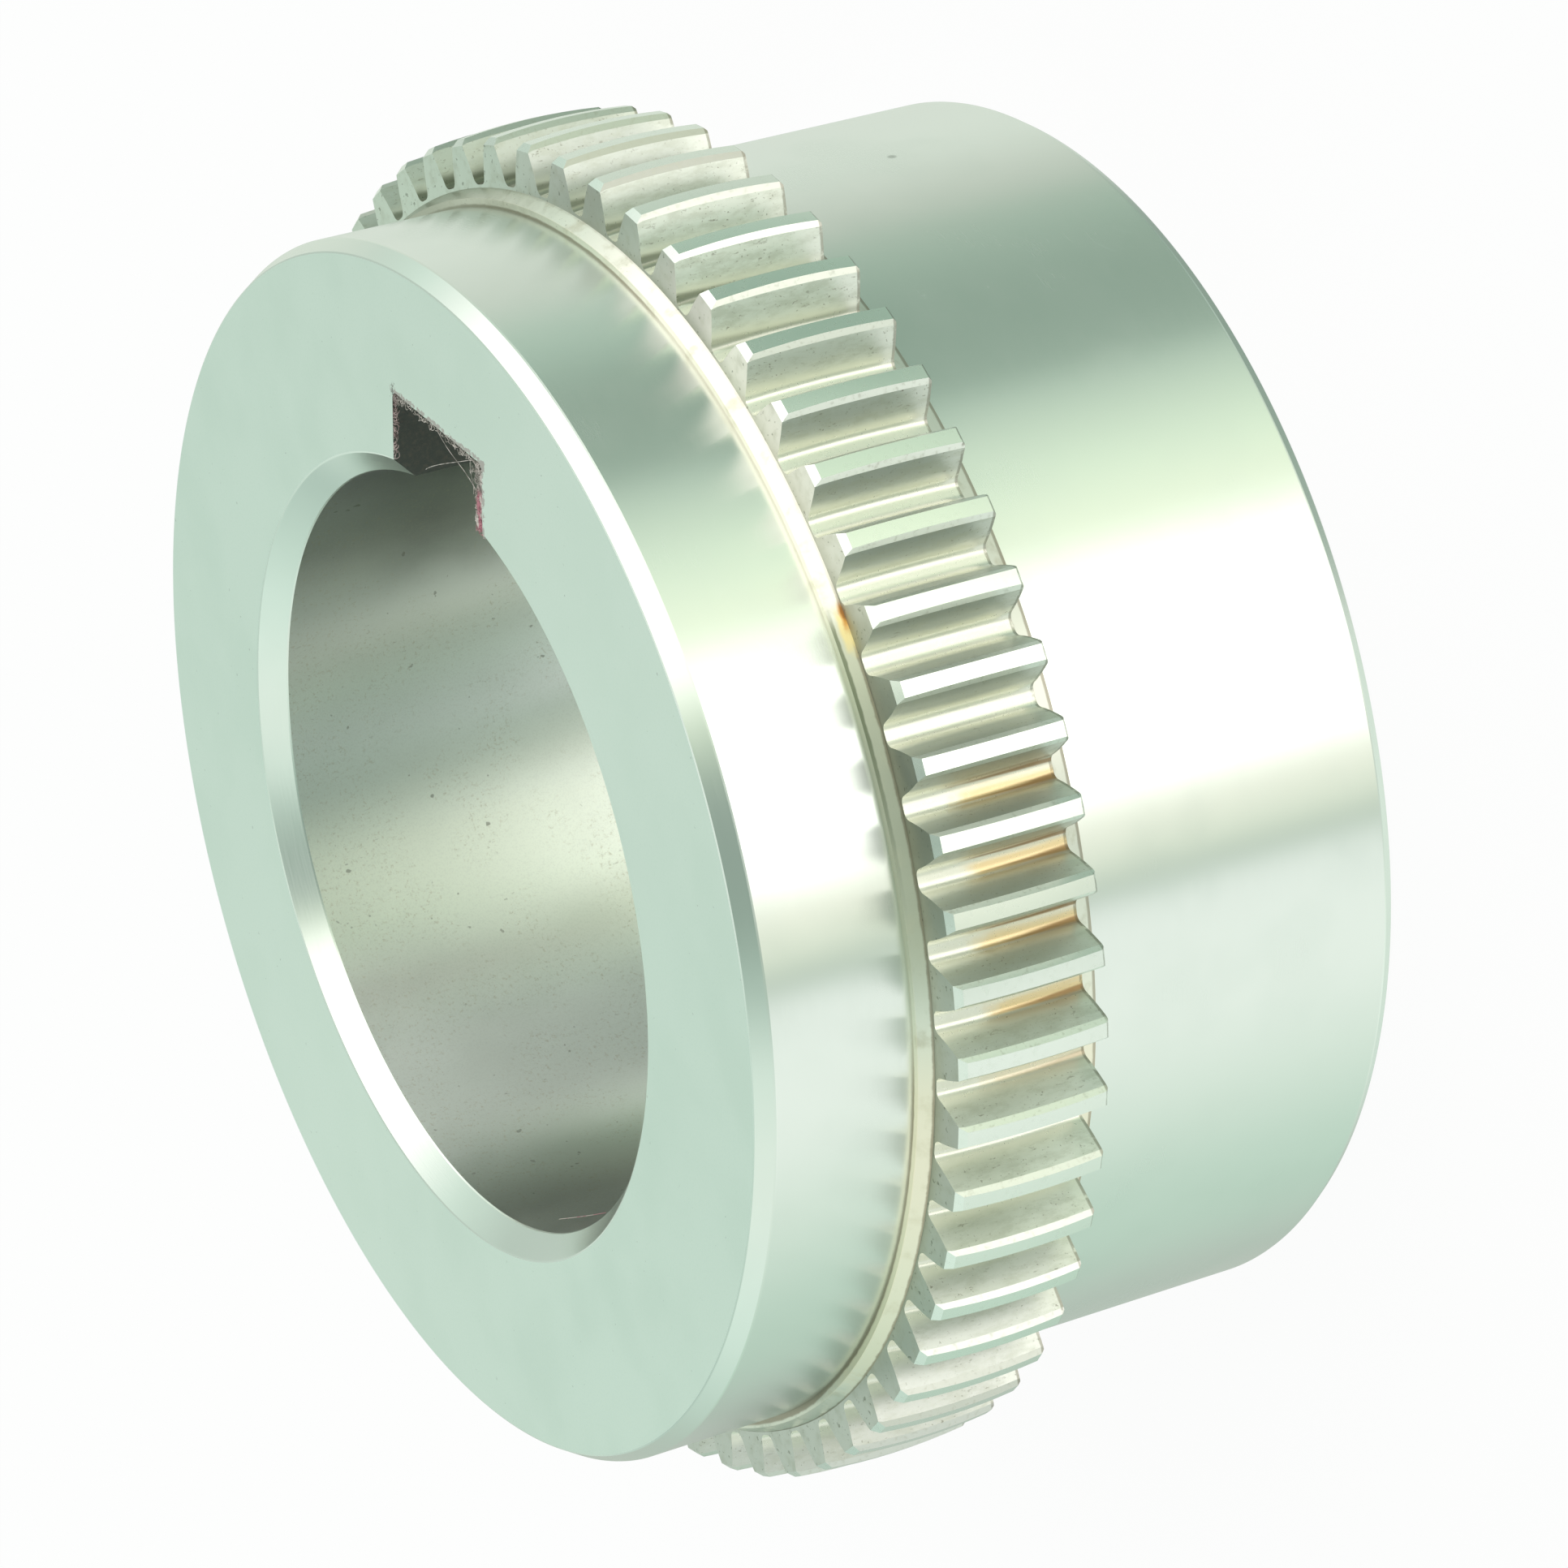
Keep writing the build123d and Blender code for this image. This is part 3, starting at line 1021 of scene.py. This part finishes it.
# Fibres of lint caught on the front edges of the keyway, and one in the bore. Tufts say from
# where to where they lie, how many fibres they have and how far those stray.
lintLook = {
    "tufts": [
        ((27.8, -5.94, 49.05), (31.7, -5.94, 49.05), 430, 0.41),
        ((31.4, -6.0, 49.05), (32.8, -5.8, 49.05), 110, 0.40),
        ((32.75, -5.9, 49.08), (32.75, -0.5, 49.08), 70, 0.20),
        ((32.75, -0.5, 49.08), (32.75, 6.1, 49.08), 50, 0.18),
        ((32.4, 5.8, 49.1), (32.95, 6.3, 49.1), 90, 0.24),
        ((28.2, 6.33, 49.1), (32.8, 6.33, 49.1), 70, 0.07),
        ((30.0, -5.2, 48.7), (32.3, -4.6, 48.7), 26, 0.60),
    ],
    "strands": [
        ((32.6, 0.4, 49.0), (31.2, -1.6, 48.9), (31.4, -2.6, 48.8), (30.4, -5.2, 49.0)),
        ((28.3, 3.2, 48.4), (29.6, 1.4, 48.8), (31.2, -2.0, 48.9), (32.7, -4.9, 49.0)),
        ((32.6, -4.4, 49.0), (31.4, -3.4, 48.7), (30.0, -4.4, 48.7), (29.2, -6.1, 49.0)),
        ((-24.80, -9.91, 45.8), (-24.55, -10.55, 45.1), (-24.2, -11.4, 44.2), (-23.69, -12.32, 43.35)),
    ],
    "sizes": (0.4, 1.3),
    "fibreLength": 0.55,
    "fibreRadius": 0.024,
    "fibrePoints": 7,
    "fibreSides": 5,
    "strandPoints": 40,
    "bends": 1.6,
    "curl": 0.30,
    "top": 49.19,
    "seed": 11,
    "pink": (0.60, 0.22, 0.29),
    "roughness": 0.85,
    "colour": (0.72, 0.64, 0.62),
    "grey": (0.30, 0.27, 0.25),
    "dark": (0.10, 0.09, 0.08),
}


def lintTree(fluff, values):
    bench, given = newTree("lintFibres", values)
    half = given["Fibre Length"] * 0.5
    sockets = {"Resolution": lintLook["fibrePoints"], "Start": bench.vector(half * -1.0, 0.0, 0.0)}
    sockets["Middle"] = bench.vector(0.0, given["Fibre Length"] * 0.8, half)
    sockets["End"] = bench.vector(half, 0.0, 0.0)
    fibre = bench.add("GeometryNodeCurveQuadraticBezier", {}, sockets)
    sockets = {0: (0, 0, 0), 1: (2 * pi, 2 * pi, 2 * pi), "Seed": lintLook["seed"]}
    turn = bench.add("FunctionNodeRandomValue", {"data_type": "FLOAT_VECTOR"}, sockets)
    turn = bench.add("FunctionNodeEulerToRotation", {}, {0: turn})
    smallest, largest = lintLook["sizes"]
    sockets = {2: smallest, 3: largest, "Seed": lintLook["seed"] + 1}
    size = bench.add("FunctionNodeRandomValue", {}, sockets, 1)
    sockets = {"Points": given["Geometry"], "Instance": fibre, "Rotation": turn, "Scale": size}
    fibres = bench.add("GeometryNodeInstanceOnPoints", {}, sockets)
    curves = [bench.add("GeometryNodeRealizeInstances", {}, {"Geometry": fibres})]
    for strand in lintLook["strands"]:
        places = dict(zip(("Start", "Start Handle", "End Handle", "End"), strand))
        sockets = {name: tuple(part * mm for part in place) for name, place in places.items()}
        sockets["Resolution"] = lintLook["strandPoints"]
        settings = {"mode": "POSITION"}
        curves.append(bench.add("GeometryNodeCurvePrimitiveBezierSegment", settings, sockets))
    lines = bench.add("GeometryNodeJoinGeometry", {}, {"Geometry": curves})
    spots = bench.add("GeometryNodeInputPosition")
    sockets = {"Vector": spots, "Scale": lintLook["bends"] / mm, "Detail": 1.0}
    bends = bench.add("ShaderNodeTexNoise", {}, sockets, 1)
    middle = {0: bends, 1: (0.5, 0.5, 0.5)}
    bends = bench.add("ShaderNodeVectorMath", {"operation": "SUBTRACT"}, middle)
    sockets = {0: bends, "Scale": given["Curl"]}
    bends = bench.add("ShaderNodeVectorMath", {"operation": "SCALE"}, sockets)
    lines = bench.add("GeometryNodeSetPosition", {}, {"Geometry": lines, "Offset": bends})
    # Nothing stands proud of the face
    x, y, z = bench.parts(spots)
    low = z.math("MINIMUM", given["Top"] - given["Fibre Radius"])
    sockets = {"Geometry": lines, "Position": bench.vector(x, y, low)}
    lines = bench.add("GeometryNodeSetPosition", {}, sockets)
    sockets = {"Resolution": lintLook["fibreSides"], "Radius": given["Fibre Radius"]}
    section = bench.add("GeometryNodeCurvePrimitiveCircle", {"mode": "RADIUS"}, sockets)
    sockets = {"Curve": lines, "Profile Curve": section, "Fill Caps": True}
    tubes = bench.add("GeometryNodeCurveToMesh", {}, sockets)
    tubes = bench.add("GeometryNodeRealizeInstances", {}, {"Geometry": tubes})
    tubes = bench.add("GeometryNodeSetMaterial", {}, {"Geometry": tubes, "Material": fluff})
    bench.add("NodeGroupOutput", {}, {"Geometry": tubes})
    return bench.tree


def lintFluff():
    finish, bench, spot = started("lintFluff", lintLook)
    mixed = bench.noise(spot.point, 1.6, 2.0)
    finish.coat(bench.step(mixed, 0.4, 0.6), "grey")
    pink = bench.step(spot.aside, -5.2, -5.8) * bench.step(spot.along, 31.3, 30.3)
    pink = pink * bench.step(mixed, 0.42, 0.50) + bench.step(spot.aside, 5.6, 6.0) * 0.3
    finish.coat(pink * 0.85, "pink")
    dark = bench.step(spot.aside, 5.5, 6.1) * bench.step(spot.along, 31.8, 32.5)
    finish.coat(dark * 0.7, "dark")
    roughness = lintLook["roughness"] + (mixed - 0.5) * 0.2
    return finish.done(roughness, 0.0)


def buildLint():
    scatter = random.Random(lintLook["seed"])
    points = []
    for start, end, count, stray in lintLook["tufts"]:
        for index in range(count):
            place = Vector(start).lerp(Vector(end), (index + scatter.random()) / count)
            strayed = Vector([scatter.uniform(-stray, stray) for axis in range(3)])
            points.append((place + strayed) * mm)
    mesh = bpy.data.meshes.new("lintPoints")
    mesh.from_pydata(points, [], [])
    values = {
        "Fibre Length": lintLook["fibreLength"] * mm,
        "Fibre Radius": lintLook["fibreRadius"] * mm,
        "Curl": lintLook["curl"] * mm,
        "Top": lintLook["top"] * mm,
    }
    lint = grown(mesh, lintTree(lintFluff(), values), values, "lint")
    lint.data.shade_smooth()
    return lint


lint = buildLint()
print("lint made, faces:", len(lint.data.polygons))
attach(lint, "root")


# Light of the studio by direction: azimuth from -180 to 180, below and above the horizon
studioLook = {
    "below": [
        (-180, 0.53, 0.68, 0.58), (-163, 0.57, 0.72, 0.62), (-143, 0.72, 0.83, 0.74),
        (-123, 0.88, 0.94, 0.88), (-99, 0.93, 0.98, 0.93), (-95, 0.40, 0.50, 0.42),
        (-91, 0.80, 0.86, 0.72), (-82, 1.06, 1.06, 0.92), (-74, 1.80, 1.80, 1.72),
        (-44, 1.80, 1.80, 1.70), (-30, 0.95, 1.05, 0.80), (-18, 0.78, 0.93, 0.72),
        (-1, 0.50, 0.64, 0.53), (3, 0.31, 0.43, 0.35), (24, 0.31, 0.43, 0.35), (43, 0.46, 0.60, 0.50),
        (48, 0.62, 0.68, 0.60), (77, 0.74, 0.80, 0.72), (112, 0.72, 0.78, 0.70),
        (134, 0.52, 0.57, 0.51), (158, 0.49, 0.56, 0.50), (180, 0.53, 0.68, 0.58),
    ],
    "above": [
        (-180, 0.62, 0.76, 0.68), (-162, 0.76, 0.90, 0.82), (-135, 0.86, 0.93, 0.86),
        (-112, 0.76, 0.88, 0.80), (-97, 0.42, 0.54, 0.47), (-84, 0.30, 0.38, 0.33),
        (-58, 0.30, 0.37, 0.33), (-44, 0.70, 0.82, 0.64), (-34, 1.50, 1.50, 1.40),
        (38, 1.50, 1.50, 1.45), (49, 1.00, 1.04, 0.98), (60, 0.70, 0.84, 0.75), (82, 0.52, 0.60, 0.54),
        (104, 0.56, 0.64, 0.58), (122, 0.76, 0.86, 0.79), (140, 0.70, 0.82, 0.74),
        (156, 0.46, 0.58, 0.52), (180, 0.62, 0.76, 0.68),
    ],
    "under": [
        (-180, 0.80, 0.88, 0.80), (-150, 0.97, 1.05, 0.99), (-128, 0.86, 0.95, 0.86),
        (-110, 0.60, 0.68, 0.62), (-84, 0.75, 0.80, 0.72), (-66, 1.40, 1.40, 1.32),
        (-44, 1.32, 1.32, 1.24), (-28, 0.88, 0.94, 0.84), (-12, 0.66, 0.74, 0.64),
        (4, 0.66, 0.75, 0.64), (28, 0.44, 0.55, 0.49), (50, 0.32, 0.42, 0.36), (84, 0.26, 0.33, 0.28),
        (104, 0.44, 0.52, 0.47), (124, 0.60, 0.66, 0.60), (155, 0.70, 0.82, 0.74),
        (180, 0.80, 0.88, 0.80),
    ],
    "zenith": (0.85, 0.92, 0.87),
    "brightest": 2.0,
    "zenithFrom": (0.93, 0.99),
    "underFrom": (-0.60, -0.74),
    "horizon": (-0.04, 0.06),
}


def buildStudio():
    world = bpy.data.worlds.new("studio")
    bpy.context.scene.world = world
    world.use_nodes = True
    world.node_tree.nodes.clear()
    bench = Bench(world.node_tree)
    direction = bench.add("ShaderNodeTexCoord", {}, {}, "Generated")
    x, y, z = bench.parts(direction)
    azimuth = y.math("ARCTAN2", x) * (180 / pi)
    top = studioLook["brightest"]
    levels = [studioLook[name] for name in ("below", "above", "under")]
    below, above, under = [azimuthRamp(bench, azimuth, stops, top) for stops in levels]
    zenith = tuple(part / top for part in studioLook["zenith"])
    above = bench.mix(bench.step(z, *studioLook["zenithFrom"]), above, zenith)
    below = bench.mix(bench.step(z, *studioLook["underFrom"]), below, under)
    light = bench.mix(bench.step(z, *studioLook["horizon"]), below, above)
    rays = bench.add("ShaderNodeLightPath", {}, {}, "Is Camera Ray")
    studio = bench.add("ShaderNodeBackground", {}, {"Color": light, "Strength": top})
    white = bench.add("ShaderNodeBackground", {}, {"Color": (1, 1, 1, 1), "Strength": 1.0})
    both = bench.add("ShaderNodeMixShader", {}, {0: rays, 1: studio, 2: white})
    bench.add("ShaderNodeOutputWorld", {}, {"Surface": both})


floorLook = {"size": 6.0, "colour": (0.94, 0.94, 0.94, 1), "glow": 0.93}


def buildFloor():
    mesh = bpy.data.meshes.new("floor")
    work = bmesh.new()
    bmesh.ops.create_grid(work, x_segments=1, y_segments=1, size=floorLook["size"])
    work.to_mesh(mesh)
    work.free()
    floor = bpy.data.objects.new("floor", mesh)
    bpy.context.scene.collection.objects.link(floor)
    material = bpy.data.materials.new("paleFloor")
    material.use_nodes = True
    material.node_tree.nodes.clear()
    bench = Bench(material.node_tree)
    matt = bench.add("ShaderNodeBsdfDiffuse", {}, {"Color": floorLook["colour"]})
    glow = bench.add("ShaderNodeEmission", {}, {"Color": (1, 1, 1, 1), "Strength": 1.0})
    rays = bench.add("ShaderNodeLightPath", {}, {}, "Is Camera Ray")
    both = bench.add("ShaderNodeMixShader", {}, {0: rays * floorLook["glow"], 1: matt, 2: glow})
    bench.add("ShaderNodeOutputMaterial", {}, {"Surface": both})
    floor.data.materials.append(material)
    floor.visible_glossy = False  # polished steel shows the studio below the horizon instead


# The camera stands where the photograph was taken from
cameraLook = {
    "place": (234.047, -362.686, 236.388),
    "down": (-0.872785, -0.425686, 0.238827),
    "forward": (-0.488013, 0.751518, -0.443920),
    "lens": 157.22,
    "sensor": 36.0,
    "clip": (0.01, 50.0),
}


def buildCamera():
    camera = bpy.data.objects.new("camera", bpy.data.cameras.new("camera"))
    bpy.context.scene.collection.objects.link(camera)
    camera.data.lens = cameraLook["lens"]
    camera.data.sensor_width = cameraLook["sensor"]
    camera.data.clip_start, camera.data.clip_end = cameraLook["clip"]
    back = -Vector(cameraLook["forward"]).normalized()
    up = -Vector(cameraLook["down"])
    right = up.cross(back).normalized()
    up = back.cross(right)
    pose = Matrix((right, up, back)).transposed().to_4x4()
    pose.translation = Vector(cameraLook["place"]) * mm
    camera.matrix_world = pose
    bpy.context.scene.camera = camera


buildStudio()
buildFloor()
buildCamera()
bpy.context.scene.view_settings.view_transform = "Standard"
print("studio, floor and camera made")

bpy.context.view_layer.update()
